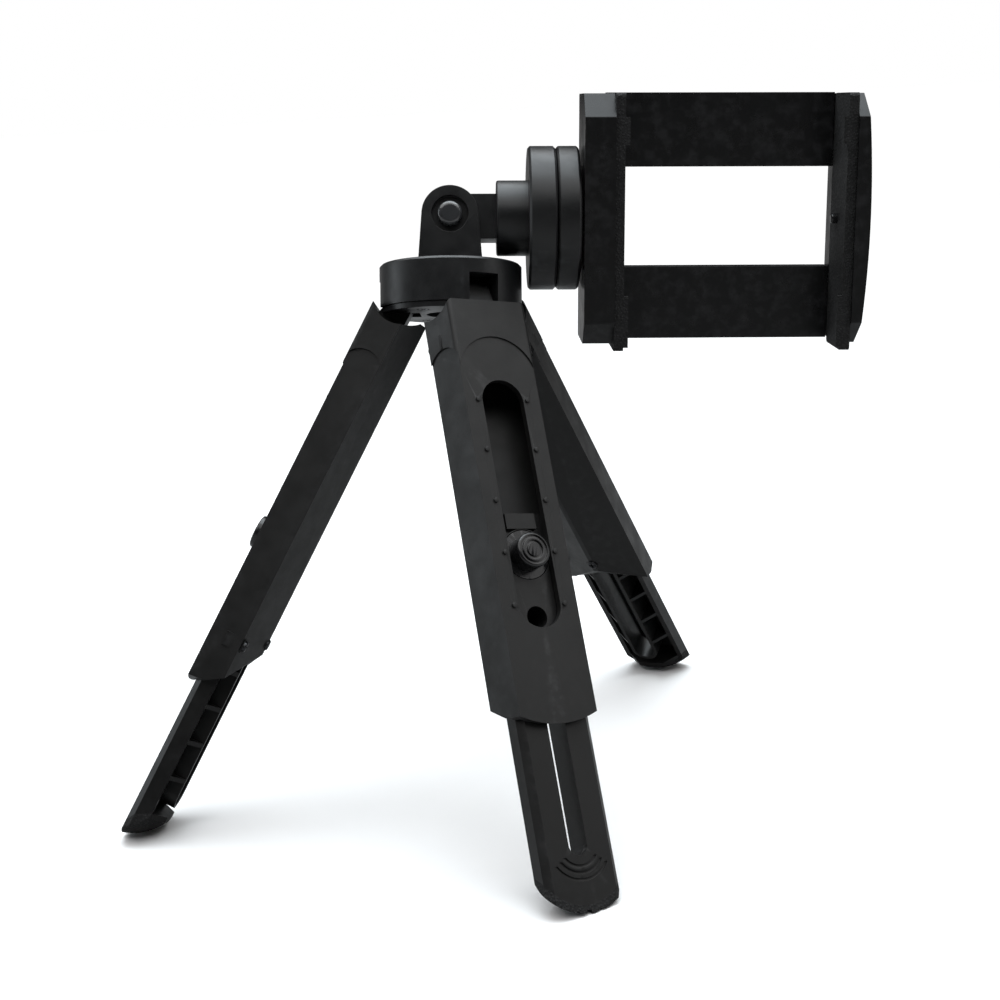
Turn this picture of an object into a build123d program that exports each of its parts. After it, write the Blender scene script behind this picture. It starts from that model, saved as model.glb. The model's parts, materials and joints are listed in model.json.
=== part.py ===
"""Mini tabletop tripod with telescoping legs, a tilt head and a sprung phone clamp.

Frame: +Z up, millimetres, the floor is z = 0, and the origin is the middle of the whole object's footprint.
The legs are spread unevenly, so the hub and the head lean back a little: they are drawn in the hub's frame,
with the hub's underside at z = 0 and the head arm along +X, and then placed. Each leg is drawn in a frame
of its own: there w runs across the leg, v runs out of its front face and u runs down it from the hinge pin.
"""
from build123d import *
from math import atan2, cos, degrees, hypot, radians, sin, sqrt
import os

# Whole object
HUB_PLACE = (-8.06, 3.82)
LEAN_BACK = 14.0
LEAN_SIDE = 3.0
HINGE_RADIUS = 12.0
LEFT_SPREAD = 27.0
FOLDED_SPREAD = 0.0
HALVINGS = 40
OPEN_SPREAD = 48.0
LEG_REACH = 159.0
LEG_AZIMUTHS = {"front": 28.0, "left": -92.0, "rear": 148.0}
FIT_GAP = 0.2
RUN_GAP = 0.05
CUT = 1.0
FAR = 60.0

# Leg shell and cover
SHELL_END = 116.0
SHELL_END_RADIUS = 25.0
END_SEAM_RISE = 6.0
END_RIDGE_RISE = 14.0
FACE_V = 6.0
FACE_HALF = 10.7
SEAM_V = -3.3
SEAM_HALF = 13.3
RIDGE_V = -8.0
RIDGE_HALF = 0.8
WALL = 1.8
SIDE_WALL = 1.3
COVER_WALL = 1.5
COVER_RIM = 1.9
COVER_LIP = 0.4
COVER_CAVITY_TOP = 12.0
COVER_BOSS_W = 8.0
COVER_BOSS_THICK = 0.7
SHOULDER_PROUD = 0.4
SHOULDER_GAP = 0.3
SHOULDER_RADIUS = 8.0
FACE_ARCH_U = 15.0
SIDE_ARCH_U = 17.0
SIDE_ARCH_PART = 0.62
CAVITY_TOP = 20.0
TONGUE_HALF = 3.5
TONGUE_RADIUS = 3.2
TONGUE_FRONT_V = 5.6
TONGUE_BACK_V = -2.8
TONGUE_ROOT = 10.0
TONGUE_BURY = 4.0
SLOT_TOP = 27.0
SLOT_END = 92.2
SLOT_HALF = 5.9
DETENT_FIRST = 32.4
DETENT_PITCH = 13.5
DETENT_COUNT = 5
DETENT_HALF = 7.1
DETENT_RADIUS = 0.65
DETENT_PROUD = 0.45
EDGE_ROUND = 0.9
SCREW_HALF = 11.7
SCREW_TOP_U = 15.0
SCREW_END_U = 100.5
LEG_SCREW_LENGTH = 4.0
BOSS_HALF = 1.9
HEAD_SINK = 0.6
DRAG_SCREW_U = 99.0
DRAG_SEAT_V = -7.6
DRAG_SCREW_LENGTH = 1.9
DRAG_BOSS_RADIUS = 2.2
DRAG_BOSS_V = -5.5

# Leg extension, at rest on the fourth of the five detents
REST_DETENT = 3
EXT_TOP = 62.0
EXT_HALF = 10.1
EXT_FRONT_V = 3.8
EXT_REAR_V = -1.8
EXT_CHAMFER = 1.6
EXT_PLATE = 1.8
EXT_WALL = 1.6
RIB_PITCH = 10.5
RIB_THICK = 1.2
CHANNEL_REAR_V = -5.3
GUSSET_HALF = 8.5
POCKET_FOOT = 8.0
CHANNEL_HALF = 4.4
CHANNEL_WALL = 1.1
EXT_SLOT_HALF = 2.5
EXT_SLOT_TOP = 103.0
EXT_SLOT_END = 147.0
TAB_HALF = 4.2
TAB_LENGTH = 4.2
TAB_STEP = 1.0
TAB_MARGIN = 1.9
HOLE_U = 89.0
HOLE_RADIUS = 2.8
GRIP_RADII = (5.0, 6.6, 8.2)
GRIP_WIDTH = 0.7
GRIP_DEPTH = 0.35
GRIP_START = 0.55
SOLE_SLOPE = 30.0
SOLE_RADIUS = 16.0
SOLE_V = 0.6
PAD_HEIGHT = 2.0
PAD_GROOVES = 5
PAD_GROOVE_WIDTH = 1.3
PAD_GROOVE_DEPTH = 1.0
PEG_RADIUS = 1.5
PEG_LENGTH = 5.0
PEG_SINK = 1.0
PEG_W = 6.0
PEG_V = 0.6

# Detent button and its spring
BUTTON_RADIUS = 4.5
BUTTON_TOP_V = 8.2
BUTTON_TRAVEL = 1.5
BUTTON_ROOF = 2.2
BUTTON_RINGS = (2.1, 3.4)
RING_HALF = 0.3
RING_DEPTH = 0.4
FLANGE_RADIUS = 6.3
FLANGE_THICK = 1.0
SKIRT_RADIUS = 3.2
SPRING_BORE = 2.3
SPRING_RADIUS = 1.7
SPRING_WIRE = 0.25
SPRING_TURNS = 5
WELL_RADIUS = 7.6
WELL_FLOOR = 1.0
WELL_REAR_V = -2.6

# Hub
HUB_RADIUS = 19.0
HUB_HEIGHT = 13.0
PLATE_THICK = 1.6
PLATE_RADIUS = 18.5
HINGE_Z = 4.0
NOTCH_HALF = 4.2
NOTCH_HEIGHT = 8.8
NOTCH_INNER = 8.1
PIN_RADIUS = 1.25
PIN_HALF = 9.0
HUB_CORE_RADIUS = 6.4
HUB_ROOF = 4.0
EDGE_BREAK = 0.6
PLATE_SCREW_RADIUS = 13.5
PLATE_SCREW_LENGTH = 5.0
PLATE_SCREW_TOP = 7.0
PAN_SCREW_RADIUS = 1.5
PAN_SCREW_LENGTH = 9.0
PAN_HEAD_RADIUS = 3.0
PAN_HEAD_THICK = 1.8
WASHER_THICK = 0.8
WASHER_GAP = 0.3
WASHER_HOLE = 1.6

# Head
FORK_BASE_HALF = 8.5
FORK_DEPTH_HALF = 8.0
FORK_ROUND = 7.5
FORK_SLOT_HALF = 3.7
FORK_SLOT_FLOOR = 3.6
PIVOT_ABOVE_HUB = 12.8
PAN_BOSS_RADIUS = 5.0
BOLT_RADIUS = 2.0
BOLT_HEAD_RADIUS = 3.3
RECESS_RADIUS = 4.8
RECESS_DEPTH = 1.2
BOLT_HEAD_THICK = 2.6
BOLT_HEAD_ROUND = 1.3
BOLT_END_SINK = 0.3
NUT_ACROSS = 7.0
NUT_SINK = 2.4
NUT_THICK = 2.2
ARM_THICK_HALF = 3.5
ARM_HEIGHT_HALF = 6.0
NECK_START = 12.3
NECK_RADIUS = 10.0
PLATFORM_START = 20.7
PLATFORM_END = 28.0
WHEEL_END = 34.2
DISC_RADIUS = 19.0
STUD_RADIUS = 3.175
STUD_TIP = 40.6
STUD_HEAD_ACROSS = 11.1
STUD_HEAD_THICK = 4.0
STUD_HEAD_SINK = 0.4
WHEEL_PAD_THICK = 0.5
WHEEL_PAD_OUTER = 13.9
WHEEL_PAD_INNER = 7.1
WHEEL_PAD_SINK = 0.6

# Phone clamp
CLAMP_TURN = 14.0
CLAMP_GAP = 0.3
JAW_THICK = 8.0
JAW_HALF = 32.5
JAW_FRONT_Y = -16.0
JAW_BACK_Y = 9.0
JAW_BEVEL = 6.0
PAD_THICK = 2.5
PAD_LOW = -34.0
PAD_HIGH = 32.6
PAD_INSET = 1.0
PAD_ROUND = 1.2
LIP_PROUD = 1.2
LIP_WIDTH = 1.6
LIP_SPANS = ((-33.0, -19.5), (19.5, 26.5))
OPENING = 57.6
ARM_INNER = 13.4
ARM_OUTER = 32.8
ARM_FRONT_Y = 3.0
ARM_SKIN = 1.4
RAIL_HALF = 5.0
RAIL_THICK = 2.0
RAIL_LENGTH = 46.0
RAIL_BURY = 2.0
RAIL_SCREW_BITE = 1.1
MOVING_BODY = 2.2
MOVING_BULGE = 1.8
INSERT_RADIUS = 4.75
INSERT_LENGTH = 6.3
CLAMP_SPRING_RADIUS = 1.15
CLAMP_SPRING_WIRE = 0.25
CLAMP_SPRING_TURNS = 9
SPRING_SEAT = 1.6
COVER_SCREW_DEPTH = 4.8
COVER_SCREW_LENGTH = 3.6
COVER_SCREW_INSETS = (6.0, 4.0)
COVER_SCREW_EDGE = 1.6
COVER_HEAD_SINK = 0.7
NUB_RADIUS = 1.3
NUB_PROUD = 1.8
NUB_LENGTH = 3.0
NUB_Y = -5.0
NUB_Z = 0.0
NUB_EDGE = 0.5

# Fasteners
SCREW_HEAD_RADIUS = 1.5
SCREW_HEAD_THICK = 0.9
SCREW_RADIUS = 0.8
DRIVE_WIDTH = 0.5
DRIVE_DEPTH = 0.45
DRIVE_SPAN = 1.3
HEAD_ROUND = 0.45

HUB_BOTTOM = 0.0
HUB_TOP = HUB_BOTTOM + HUB_HEIGHT
PIVOT_Z = HUB_TOP + PIVOT_ABOVE_HUB
TAB_FRONT_V = FACE_V - WALL - FIT_GAP
BUTTON_U = DETENT_FIRST + REST_DETENT * DETENT_PITCH
CLAMP_START = WHEEL_END + WHEEL_PAD_THICK + CLAMP_GAP
JAW_END = CLAMP_START + JAW_THICK
FACE_START = JAW_END + PAD_THICK
FACE_END = FACE_START + OPENING
ARM_END = FACE_END - FIT_GAP
MOVING_START = FACE_END + PAD_THICK
RAIL_END = MOVING_START + RAIL_BURY
RAIL_SCREW_X = MOVING_START
POCKET_END = LEG_REACH - POCKET_FOOT


# ---------------------------------------------------------------- helpers
def block(x0, x1, y0, y1, z0, z1):
    """A box from its six faces."""
    middle = Pos((x0 + x1) / 2, (y0 + y1) / 2, (z0 + z1) / 2)
    return middle * Box(x1 - x0, y1 - y0, z1 - z0)


def rod_x(radius, x0, x1, y=0.0, z=0.0):
    """A cylinder along X."""
    return Pos((x0 + x1) / 2, y, z) * Rot(0, 90, 0) * Cylinder(radius, x1 - x0)


def rod_y(radius, y0, y1, x=0.0, z=0.0):
    """A cylinder along Y."""
    return Pos(x, (y0 + y1) / 2, z) * Rot(90, 0, 0) * Cylinder(radius, y1 - y0)


def rod_z(radius, z0, z1, x=0.0, y=0.0):
    """A cylinder along Z."""
    return Pos(x, y, (z0 + z1) / 2) * Cylinder(radius, z1 - z0)


def leg_block(w0, w1, v0, v1, u0, u1):
    """A box in a leg's own frame."""
    return block(w0, w1, -v1, -v0, -u1, -u0)


def leg_rod(radius, w, u, v0, v1):
    """A cylinder that stands out of a leg's front face."""
    return rod_y(radius, -v1, -v0, x=w, z=-u)


def leg_prism(outline, u0, u1):
    """An outline of (w, v) points drawn down the leg from u0 to u1."""
    points = [(w, -v) for w, v in outline]
    face = make_face(Polyline(*points, close=True))
    return Pos(0, 0, -u1) * extrude(face, u1 - u0)


def leg_slot(half, u0, u1, v0, v1):
    """A round-ended slot along the leg, cut from v0 to v1."""
    middle = leg_block(-half, half, v0, v1, u0 + half, u1 - half)
    return middle + leg_rod(half, 0, u0 + half, v0, v1) + leg_rod(half, 0, u1 - half, v0, v1)


def mirrored(outline):
    """Close a half outline, given from the front edge to the back edge, across the leg's middle."""
    return outline + [(-w, v) for w, v in reversed(outline)]


def cross_drive(radius, depth):
    """The cutter of a cross recess, at the origin and opening towards +Z."""
    size = radius * DRIVE_SPAN
    return Box(size, DRIVE_WIDTH, 2 * depth) + Box(DRIVE_WIDTH, size, 2 * depth)


def screw(head_radius, head_thick, radius, length):
    """A pan-head screw: head from z = 0 up, shank down to -length."""
    head = rod_z(head_radius, 0, head_thick)
    head = fillet(head.edges().group_by(Axis.Z)[-1], head_thick * HEAD_ROUND)
    body = head + rod_z(radius, -length, 0)
    return body - Pos(0, 0, head_thick) * cross_drive(head_radius, DRIVE_DEPTH)


def coil(radius, wire, height, turns):
    """A compression coil that stands on z = 0."""
    path = Helix(pitch=(height - 2 * wire) / turns, height=height - 2 * wire, radius=radius)
    section = Plane(origin=path @ 0, z_dir=path % 0) * Circle(wire)
    return Pos(0, 0, wire) * sweep(section, path=path)


def lean():
    """Turn the hub's frame to the way that it leans on its uneven legs."""
    return Rot(0, LEAN_SIDE, 0) * Rot(-LEAN_BACK, 0, 0)


def hinge_place(azimuth, spread):
    """Place a leg's own frame in the hub's frame."""
    return Rot(0, 0, azimuth) * Pos(0, -HINGE_RADIUS, HINGE_Z) * Rot(-spread, 0, 0)


def sole_depth(azimuth, spread):
    """How far a leg's rounded sole reaches below the middle of the hub's underside."""
    slope = radians(SOLE_SLOPE)
    ball_v = SOLE_V + SOLE_RADIUS * sin(slope)
    ball_u = LEG_REACH - SOLE_RADIUS * cos(slope)
    ball = lean() * hinge_place(azimuth, spread) * Pos(0, -ball_v, -ball_u)
    return SOLE_RADIUS - ball.position.Z


def spread_to_floor(azimuth, depth):
    """The spread that brings a leg's sole to the floor, found by halving the hinge's range."""
    narrow, wide = FOLDED_SPREAD, OPEN_SPREAD
    for _ in range(HALVINGS):
        middle = (narrow + wide) / 2
        if sole_depth(azimuth, middle) > depth:
            narrow = middle
        else:
            wide = middle
    return middle


HUB_LIFT = sole_depth(LEG_AZIMUTHS["left"], LEFT_SPREAD)
SPREADS = {name: spread_to_floor(azimuth, HUB_LIFT) for name, azimuth in LEG_AZIMUTHS.items()}


def in_world():
    """Place the hub's frame in the object's frame."""
    return Pos(*HUB_PLACE, HUB_LIFT) * lean()


def in_leg(leg_name):
    """Place a leg's own frame in the object's frame."""
    return in_world() * hinge_place(LEG_AZIMUTHS[leg_name], SPREADS[leg_name])


def in_hub(azimuth):
    """Place a part that is drawn for the hub's -Y side at one leg."""
    return in_world() * Rot(0, 0, azimuth)


def in_head():
    """Place a head part that is drawn about the tilt pivot."""
    return in_world() * Pos(0, 0, PIVOT_Z)


def in_clamp():
    """Place a clamp part that is drawn about the stud: the clamp is turned on the stud to stand upright."""
    return in_head() * Rot(CLAMP_TURN, 0, 0)


# ---------------------------------------------------------------- leg
def shoulder_outline():
    """The shell's section with its facets filled out, as at the shoulder."""
    return mirrored([(FACE_HALF + SHOULDER_PROUD, FACE_V + SHOULDER_PROUD),
                     (SEAM_HALF + SHOULDER_PROUD, SEAM_V)])


def arch_cutter(half, apex, depth):
    """An arch-topped slab in front of v = 0, from u = apex down past the shell's end."""
    body = leg_block(-half, half, 0, depth, apex + half, SHELL_END + half)
    return body + leg_rod(half, 0, apex + half, 0, depth)


def facet_cutters():
    """The three flats of the shell: the face, and one on each side."""
    run = SEAM_HALF - FACE_HALF
    drop = FACE_V - SEAM_V
    lean = degrees(atan2(drop, run))
    width = hypot(run, drop)
    face = Pos(0, -FACE_V, 0) * arch_cutter(FACE_HALF + SHOULDER_PROUD, FACE_ARCH_U, 2 * WALL)
    cutters = [face]
    for side in (-1, 1):
        middle_w = side * (FACE_HALF + SEAM_HALF) / 2
        middle_v = (FACE_V + SEAM_V) / 2
        slab = arch_cutter(width * SIDE_ARCH_PART, SIDE_ARCH_U, 2 * WALL)
        cutters.append(Pos(middle_w, -middle_v, 0) * Rot(0, 0, side * lean) * slab)
    return cutters


def leg_profile(outline, half):
    """An outline of (v, u) points, drawn across the leg from -half to half."""
    points = [(-v, -u) for v, u in outline]
    face = make_face(Polyline(*points, close=True))
    return extrude(Plane.YZ * face, half, both=True)


def end_trim():
    """What the curved and slanting lower end of the shell and cover takes off a square end."""
    square = leg_block(-FAR, FAR, -FAR, FAR, SHELL_END - SHELL_END_RADIUS / 2, SHELL_END + CUT)
    curve = square - leg_rod(SHELL_END_RADIUS, 0, SHELL_END - SHELL_END_RADIUS, -FAR, FAR)
    slope = (END_RIDGE_RISE - END_SEAM_RISE) / (SEAM_V - RIDGE_V)
    slant = [(FACE_V, SHELL_END), (SEAM_V, SHELL_END - END_SEAM_RISE),
             (RIDGE_V - CUT, SHELL_END - END_RIDGE_RISE - slope * CUT),
             (RIDGE_V - CUT, SHELL_END + CUT), (FACE_V, SHELL_END + CUT)]
    return curve + leg_profile(slant, FAR)


def shoulder_trim():
    """What the shoulder loses to clear the hub, folded and all the way to fully open."""
    folded = leg_block(-FAR, FAR, -FAR, FAR, -FAR, HINGE_Z + SHOULDER_GAP)
    return folded + rod_x(SHOULDER_RADIUS, -FAR, FAR)


def tongue():
    """The hinge tongue that runs up into the hub's notch."""
    front = leg_block(-TONGUE_HALF, TONGUE_HALF, TONGUE_BACK_V, TONGUE_FRONT_V,
                      TONGUE_ROOT, TONGUE_ROOT + TONGUE_BURY)
    web = leg_profile([(TONGUE_FRONT_V, TONGUE_ROOT), (TONGUE_BACK_V, TONGUE_ROOT),
                       (-TONGUE_RADIUS, 0), (TONGUE_RADIUS, 0)], TONGUE_HALF)
    eye = rod_x(TONGUE_RADIUS, -TONGUE_HALF, TONGUE_HALF)
    body = front + web + eye
    return body - rod_x(PIN_RADIUS + RUN_GAP, -TONGUE_HALF - CUT, TONGUE_HALF + CUT)


def screw_spots():
    """Where the two cover screws of a leg stand, as (w, u)."""
    return ((-SCREW_HALF, SCREW_TOP_U), (SCREW_HALF, SCREW_END_U))


def boss_span(w, near, far):
    """The w range of a boss between two distances from the leg's middle, on the side where w is."""
    side = 1 if w > 0 else -1
    return sorted((side * near, side * far))


def leg_shell():
    """The front moulding of a leg, with its facets, slot, detent pips and screw bosses."""
    body = leg_prism(shoulder_outline(), 0, SHELL_END)
    front_edges = body.edges().filter_by(Axis.Z).group_by(Axis.Y)[0]
    body = fillet(front_edges, EDGE_ROUND + SHOULDER_PROUD)
    for cutter in facet_cutters():
        body -= cutter
    body -= shoulder_trim()
    flare = (SEAM_HALF - FACE_HALF) / (FACE_V - SEAM_V)
    inner = FACE_HALF - SIDE_WALL
    mouth = inner + flare * (FACE_V - SEAM_V + CUT)
    cavity = mirrored([(inner + flare * WALL, FACE_V - WALL), (mouth, SEAM_V - CUT)])
    body -= leg_prism(cavity, CAVITY_TOP, SHELL_END + CUT)
    for w, u in screw_spots():
        w0, w1 = boss_span(w, EXT_HALF + 1.5 * FIT_GAP, SEAM_HALF - SIDE_WALL / 2)
        body += leg_block(w0, w1, SEAM_V, EXT_CHAMFER, u - BOSS_HALF, u + BOSS_HALF)
    body = body - end_trim() + tongue()
    body -= leg_slot(SLOT_HALF, SLOT_TOP, SLOT_END, FACE_V - WALL - CUT, FACE_V + CUT)
    for index in range(DETENT_COUNT):
        for side in (-1, 1):
            u = DETENT_FIRST + index * DETENT_PITCH
            body += leg_rod(DETENT_RADIUS, side * DETENT_HALF, u, FACE_V - WALL / 2, FACE_V + DETENT_PROUD)
    for w, u in screw_spots():
        body -= leg_rod(SCREW_RADIUS, w, u, SEAM_V - CUT, SEAM_V - HEAD_SINK + LEG_SCREW_LENGTH)
    return body


def leg_cover():
    """The ridged inner moulding that closes a leg."""
    outline = mirrored([(SEAM_HALF, SEAM_V), (RIDGE_HALF, RIDGE_V)])
    body = leg_prism(outline, 0, SHELL_END)
    inner = SEAM_HALF - COVER_RIM
    inside = mirrored([(inner, SEAM_V + CUT), (inner, SEAM_V - COVER_LIP),
                       (RIDGE_HALF, RIDGE_V + COVER_WALL)])
    body -= leg_prism(inside, COVER_CAVITY_TOP, SHELL_END + CUT)
    body = body - shoulder_trim() - end_trim()
    body += leg_rod(DRAG_BOSS_RADIUS, 0, DRAG_SCREW_U, DRAG_SEAT_V, DRAG_BOSS_V)
    for w, u in screw_spots():
        w0, w1 = boss_span(w, COVER_BOSS_W, SEAM_HALF - HEAD_SINK)
        body += leg_block(w0, w1, SEAM_V - COVER_BOSS_THICK, SEAM_V, u - BOSS_HALF, u + BOSS_HALF)
    for w, u in screw_spots():
        body -= leg_rod(SCREW_RADIUS + RUN_GAP, w, u, RIDGE_V, SEAM_V + CUT)
        body -= leg_rod(SCREW_HEAD_RADIUS + 2 * RUN_GAP, w, u, RIDGE_V - CUT, SEAM_V - HEAD_SINK)
    body -= leg_rod(SCREW_RADIUS, 0, DRAG_SCREW_U, RIDGE_V, DRAG_SEAT_V + DRAG_SCREW_LENGTH)
    body -= leg_rod(SCREW_HEAD_RADIUS + 2 * RUN_GAP, 0, DRAG_SCREW_U, RIDGE_V - CUT, DRAG_SEAT_V)
    return body


def leg_screws():
    """The two cover screws of a leg, and the short screw in the ridge that sets the slide's drag."""
    places = [(w, u, SEAM_V - HEAD_SINK, LEG_SCREW_LENGTH) for w, u in screw_spots()]
    places.append((0, DRAG_SCREW_U, DRAG_SEAT_V, DRAG_SCREW_LENGTH))
    screws = []
    for w, u, v, length in places:
        body = screw(SCREW_HEAD_RADIUS, SCREW_HEAD_THICK, SCREW_RADIUS, length)
        screws.append(Pos(w, -v, -u) * Rot(-90, 0, 0) * body)
    return Compound(screws)


def sole_place():
    """The frame of a foot: the sole faces its -Z, square to the way that the foot usually meets the floor."""
    return Pos(0, -SOLE_V, -LEG_REACH) * Rot(SOLE_SLOPE, 0, 0)


def foot_slab(z0, z1):
    """A slab across the foot, from z0 to z1 above the sole."""
    return sole_place() * block(-FAR, FAR, -FAR, FAR, z0, z1)


def sole_rod(radius):
    """A cylinder from front to back of the foot, about the middle of the sole's curve."""
    return sole_place() * rod_y(radius, -FAR, FAR, z=SOLE_RADIUS)


def extension_outline():
    """The section of the leg extension, with the gussets that slope down to its channel."""
    return mirrored([(EXT_HALF - EXT_CHAMFER, EXT_FRONT_V), (EXT_HALF, EXT_FRONT_V - EXT_CHAMFER),
                     (EXT_HALF, EXT_REAR_V), (GUSSET_HALF, EXT_REAR_V), (CHANNEL_HALF, CHANNEL_REAR_V)])


def grip_arcs():
    """The curved grip grooves below the extension's slot."""
    centre = EXT_SLOT_END - EXT_SLOT_HALF
    arcs = []
    for radius in GRIP_RADII:
        outer = leg_rod(radius + GRIP_WIDTH / 2, 0, centre, EXT_FRONT_V - GRIP_DEPTH, EXT_FRONT_V + CUT)
        inner = leg_rod(radius - GRIP_WIDTH / 2, 0, centre, EXT_FRONT_V - CUT, EXT_FRONT_V + 2 * CUT)
        lower = leg_block(-EXT_HALF, EXT_HALF, 0, EXT_FRONT_V + CUT, centre + radius * GRIP_START, LEG_REACH)
        arcs.append((outer - inner) & lower)
    return arcs


def tab_field():
    """What is sunk round the finger tab at the top of the extension."""
    field_half = TAB_HALF + TAB_MARGIN
    field = leg_block(-field_half, field_half, EXT_FRONT_V - TAB_STEP, EXT_FRONT_V + CUT,
                      EXT_TOP - CUT, BUTTON_U)
    return field - leg_rod(FLANGE_RADIUS + 2 * FIT_GAP, 0, BUTTON_U, 0, EXT_FRONT_V + 2 * CUT)


def leg_extension():
    """The ribbed sliding leg, with its channel, slot, button well and finger tab."""
    body = leg_prism(extension_outline(), EXT_TOP, LEG_REACH + PEG_LENGTH)
    inner_half = EXT_HALF - EXT_WALL
    plate_back = EXT_FRONT_V - EXT_PLATE
    behind = CHANNEL_REAR_V - CUT
    pocket = leg_block(-inner_half, inner_half, behind, plate_back, EXT_TOP + EXT_WALL, POCKET_END)
    rib_count = int((POCKET_END - EXT_TOP) // RIB_PITCH)
    for index in range(1, rib_count + 1):
        u = POCKET_END - index * RIB_PITCH
        pocket -= leg_block(-inner_half, inner_half, behind, plate_back, u - RIB_THICK / 2, u + RIB_THICK / 2)
    channel_top = EXT_SLOT_TOP + EXT_SLOT_HALF - CHANNEL_HALF
    channel_end = EXT_SLOT_END + CHANNEL_HALF - EXT_SLOT_HALF
    pocket -= leg_slot(CHANNEL_HALF, channel_top, channel_end, behind, plate_back)
    pocket -= leg_rod(WELL_RADIUS, 0, BUTTON_U, WELL_REAR_V, plate_back)
    pocket -= leg_rod(HOLE_RADIUS + CHANNEL_WALL, 0, HOLE_U, WELL_REAR_V, plate_back)
    body -= pocket
    body -= leg_slot(CHANNEL_HALF - CHANNEL_WALL, channel_top + CHANNEL_WALL, channel_end - CHANNEL_WALL,
                     behind, plate_back)
    body -= leg_slot(EXT_SLOT_HALF, EXT_SLOT_TOP, EXT_SLOT_END, behind, EXT_FRONT_V + CUT)
    body -= leg_rod(HOLE_RADIUS, 0, HOLE_U, behind, EXT_FRONT_V + CUT)
    well_depth = EXT_FRONT_V - FLANGE_THICK - BUTTON_TRAVEL - FIT_GAP
    body -= leg_rod(FLANGE_RADIUS + FIT_GAP, 0, BUTTON_U, well_depth, EXT_FRONT_V + CUT)
    body -= leg_rod(SKIRT_RADIUS + FIT_GAP, 0, BUTTON_U, WELL_REAR_V + WELL_FLOOR, EXT_FRONT_V)
    body -= tab_field()
    body += leg_block(-TAB_HALF, TAB_HALF, EXT_FRONT_V - TAB_STEP - FIT_GAP, TAB_FRONT_V,
                      EXT_TOP + FIT_GAP, EXT_TOP + TAB_LENGTH)
    for arc in grip_arcs():
        body -= arc
    body -= foot_slab(-FAR, SOLE_RADIUS) - sole_rod(SOLE_RADIUS - PAD_HEIGHT)
    for side in (-1, 1):
        body -= foot_peg(side * PEG_W)
    return body


def foot_peg(w):
    """A peg of the foot pad, which fills its hole in the extension."""
    return rod_z(PEG_RADIUS, -LEG_REACH, -LEG_REACH + PEG_LENGTH + PAD_HEIGHT, x=w, y=-PEG_V) - sole_ring()


def sole_ring():
    """What lies outside the middle of the pad's thickness, below the middle of the sole's curve."""
    return foot_slab(-FAR, SOLE_RADIUS) - sole_rod(SOLE_RADIUS - PAD_HEIGHT / 2)


def foot_pad():
    """The rounded rubber foot, grooved across its sole, with two pegs up into the extension."""
    pad = leg_prism(extension_outline(), EXT_SLOT_END, LEG_REACH + PEG_LENGTH) & foot_slab(-CUT, SOLE_RADIUS)
    pad = pad & sole_place() * Pos(0, 0, SOLE_RADIUS) * Sphere(SOLE_RADIUS)
    pad -= sole_rod(SOLE_RADIUS - PAD_HEIGHT)
    pitch = 2 * EXT_HALF / (PAD_GROOVES + 1)
    for index in range(PAD_GROOVES):
        w = (index + 1) * pitch - EXT_HALF
        groove = block(w - PAD_GROOVE_WIDTH / 2, w + PAD_GROOVE_WIDTH / 2, -FAR, FAR, -CUT, PAD_GROOVE_DEPTH)
        pad -= sole_place() * groove
    for side in (-1, 1):
        pad += foot_peg(side * PEG_W)
    return pad


def button():
    """The round detent button, with ring grooves on top, a retaining flange and a spring bore."""
    flange_top = EXT_FRONT_V - RUN_GAP
    cap = leg_rod(BUTTON_RADIUS, 0, BUTTON_U, flange_top - FLANGE_THICK, BUTTON_TOP_V)
    cap = fillet(cap.edges().group_by(Axis.Y)[0], EDGE_BREAK)
    for radius in BUTTON_RINGS:
        ring = leg_rod(radius + RING_HALF, 0, BUTTON_U, BUTTON_TOP_V - RING_DEPTH, BUTTON_TOP_V + CUT)
        cap -= ring - leg_rod(radius - RING_HALF, 0, BUTTON_U, BUTTON_TOP_V - CUT, BUTTON_TOP_V + CUT)
    body = cap + leg_rod(FLANGE_RADIUS, 0, BUTTON_U, flange_top - FLANGE_THICK, flange_top)
    skirt_end = WELL_REAR_V + WELL_FLOOR + BUTTON_TRAVEL + FIT_GAP
    body += leg_rod(SKIRT_RADIUS, 0, BUTTON_U, skirt_end, flange_top)
    return body - leg_rod(SPRING_BORE, 0, BUTTON_U, skirt_end - CUT, BUTTON_TOP_V - BUTTON_ROOF)


def button_spring():
    """The spring that lifts the button."""
    foot = WELL_REAR_V + WELL_FLOOR
    height = BUTTON_TOP_V - BUTTON_ROOF - foot
    return Pos(0, -foot, -BUTTON_U) * Rot(90, 0, 0) * coil(SPRING_RADIUS, SPRING_WIRE, height, SPRING_TURNS)


# ---------------------------------------------------------------- hub
def hub_notch():
    """One leg's notch, drawn for the hub's -Y side."""
    return block(-NOTCH_HALF, NOTCH_HALF, -FAR, -NOTCH_INNER, HUB_BOTTOM - CUT, HUB_BOTTOM + NOTCH_HEIGHT)


def plate_screw_spots():
    """Where the three plate screws stand, between the legs, as azimuths."""
    return [azimuth + 60 for azimuth in LEG_AZIMUTHS.values()]


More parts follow.
